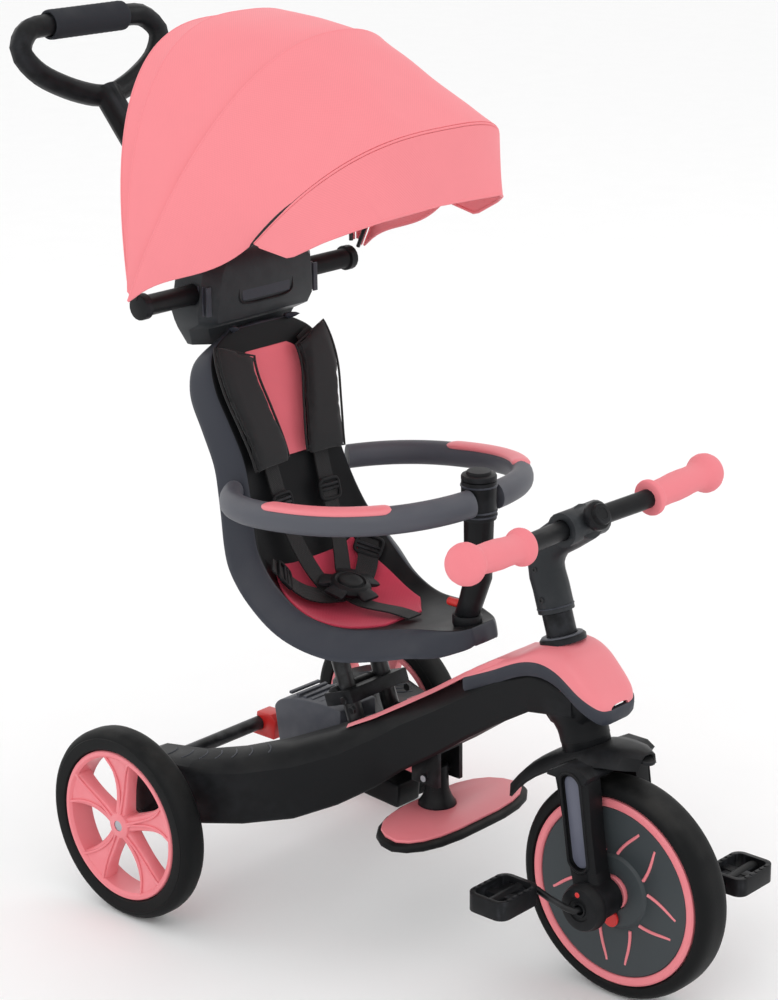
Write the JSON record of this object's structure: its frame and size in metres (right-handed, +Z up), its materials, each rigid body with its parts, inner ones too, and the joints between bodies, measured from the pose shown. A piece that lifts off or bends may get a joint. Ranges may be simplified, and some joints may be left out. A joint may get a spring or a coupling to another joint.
{
  "type": "children's tricycle",
  "caption": "Push-along tricycle with pedals on the front wheel, a canopy, a padded bucket seat with harness and safety ring, a fold-down footrest and a rear push handle.",
  "frame": {"origin": "bottom centre of the bounding box: on the ground, half way along the length, in the plane of symmetry", "axes": "+X forward (direction of travel), +Y to the rider's left, +Z up"},
  "size_m": [0.9736, 0.4946, 1.0396],
  "materials": {
    "black_rubber": "dark rubbery",
    "coral_plastic": "coral, satin",
    "disc_plastic": "mid grey, smooth",
    "red_plastic": "red, satin",
    "black_steel": "black powder coat",
    "black_plastic": "satin black, fine grain",
    "grey_plastic": "dark grey, ribbed",
    "soft_grip": "coral soft grip",
    "steel": "zinc plated",
    "pad_fabric": "black padded fabric",
    "webbing_fabric": "black woven webbing",
    "foam_sleeve": "dark grey foam",
    "canopy_fabric": "coral canopy cloth"
  },
  "bodies": {
    "frame": {"frame_beam": "black_plastic", "frame_cover": "coral_plastic", "head_tube": "steel", "headset_upper": "grey_plastic", "rear_axle": "steel", "cross_tube": "black_steel", "step_box": "grey_plastic", "step_latch": "red_plastic", "footrest_bracket": "black_plastic", "footrest_pin": "steel", "seat_clamp": "black_plastic"},
    "steering": {"fork": "black_plastic", "front_fender": "black_plastic", "steerer_tube": "black_steel", "headset_lower": "black_plastic", "neck": "black_plastic", "handlebar": "black_steel", "grip_right": "soft_grip", "grip_left": "soft_grip", "hub_cover_right": "black_plastic", "hub_cover_left": "black_plastic"},
    "knob": {"neck_knob": "black_plastic"},
    "front_wheel": {"front_tyre": "black_rubber", "front_rim": "coral_plastic", "front_disc_right": "disc_plastic", "front_disc_left": "disc_plastic", "clutch_selector": "red_plastic", "crankshaft": "black_steel"},
    "pedal_right": {"pedal_right": "black_plastic"},
    "pedal_left": {"pedal_left": "black_plastic"},
    "rear_wheel_right": {"rear_tyre_right": "black_rubber", "rear_rim_right": "coral_plastic"},
    "rear_wheel_left": {"rear_tyre_left": "black_rubber", "rear_rim_left": "coral_plastic"},
    "footrest": {"footrest_column": "black_plastic", "footrest_base": "black_rubber", "footrest_pad": "coral_plastic"},
    "seat": {"seat_post_right": "black_steel", "seat_post_left": "black_steel", "seat_shell": "black_plastic", "seat_back_panel": "coral_plastic", "seat_base_pad": "coral_plastic", "shoulder_pad_right": "pad_fabric", "shoulder_pad_left": "pad_fabric", "harness_webbing": "webbing_fabric", "harness_buckle": "black_plastic", "ring_post": "black_plastic", "head_box": "black_plastic", "canopy_tube": "black_plastic", "canopy_rear": "canopy_fabric", "push_pole": "steel"},
    "handle": {"push_handle": "black_plastic", "handle_sleeve": "foam_sleeve"},
    "ring_right": {"ring_half_right": "black_plastic"},
    "ring_left": {"ring_half_left": "black_plastic"},
    "button": {"ring_button": "black_plastic"},
    "release": {"ring_release": "red_plastic"},
    "canopy_middle": {"canopy_mid": "canopy_fabric"},
    "canopy_roof": {"canopy_front": "canopy_fabric", "canopy_visor": "canopy_fabric"}
  },
  "joints": [
    {"name": "steer", "type": "hinge", "parent": "frame", "child": "steering", "pos_m": [0.28397, 0, 0.35], "axis": [-0.2924, 0, 0.9563], "range_deg": [-35, 35]},
    {"name": "knob_turn", "type": "hinge", "parent": "steering", "child": "knob", "pos_m": [0.30979, 0, 0.54171], "axis": [0.867, 0, 0.4983], "continuous": true},
    {"name": "front_wheel_spin", "type": "hinge", "parent": "steering", "child": "front_wheel", "pos_m": [0.35915, 0, 0.127], "axis": [0, 1, 0], "continuous": true},
    {"name": "pedal_right_spin", "type": "hinge", "parent": "front_wheel", "child": "pedal_right", "pos_m": [0.29968, 0, 0.14417], "axis": [0, 1, 0], "continuous": true},
    {"name": "pedal_left_spin", "type": "hinge", "parent": "front_wheel", "child": "pedal_left", "pos_m": [0.41862, 0, 0.10983], "axis": [0, 1, 0], "continuous": true},
    {"name": "rear_wheel_right_spin", "type": "hinge", "parent": "frame", "child": "rear_wheel_right", "pos_m": [-0.19455, 0, 0.1162], "axis": [0, 1, 0], "continuous": true},
    {"name": "rear_wheel_left_spin", "type": "hinge", "parent": "frame", "child": "rear_wheel_left", "pos_m": [-0.19455, 0, 0.1162], "axis": [0, 1, 0], "continuous": true},
    {"name": "footrest_fold", "type": "hinge", "parent": "frame", "child": "footrest", "pos_m": [0.08715, 0, 0.184], "axis": [0, 1, 0], "range_deg": [0, 30]},
    {"name": "seat_height", "type": "slide", "parent": "frame", "child": "seat", "axis": [-0.342, 0, 0.9397], "range_m": [0, 0.03]},
    {"name": "ring_right_open", "type": "hinge", "parent": "seat", "child": "ring_right", "pos_m": [-0.14885, -0.103, 0.49945], "axis": [0, 0, -1], "range_deg": [0, 60]},
    {"name": "ring_left_open", "type": "hinge", "parent": "seat", "child": "ring_left", "pos_m": [-0.14885, 0.103, 0.49945], "axis": [0, 0, 1], "range_deg": [0, 60]},
    {"name": "button_press", "type": "slide", "parent": "seat", "child": "button", "axis": [0, 0, -1], "range_m": [0, 0.0025], "stiffness_N_per_m": 400},
    {"name": "release_press", "type": "slide", "parent": "seat", "child": "release", "axis": [1, 0, 0], "range_m": [0, 0.003], "stiffness_N_per_m": 400},
    {"name": "handle_height", "type": "slide", "parent": "seat", "child": "handle", "axis": [-0.7071, 0, 0.7071], "range_m": [0, 0.09]},
    {"name": "canopy_fold", "type": "hinge", "parent": "seat", "child": "canopy_roof", "pos_m": [-0.20285, 0, 0.724], "axis": [0, -1, 0], "range_deg": [0, 38], "deforming": ["canopy_front"]},
    {"name": "canopy_middle_fold", "type": "hinge", "parent": "seat", "child": "canopy_middle", "pos_m": [-0.20285, 0, 0.724], "axis": [0, -1, 0], "range_deg": [0, 16], "deforming": ["canopy_mid"]}
  ],
  "couplings": [
    {"joint": "canopy_middle_fold", "follows": "canopy_fold", "ratio": 0.42}
  ]
}
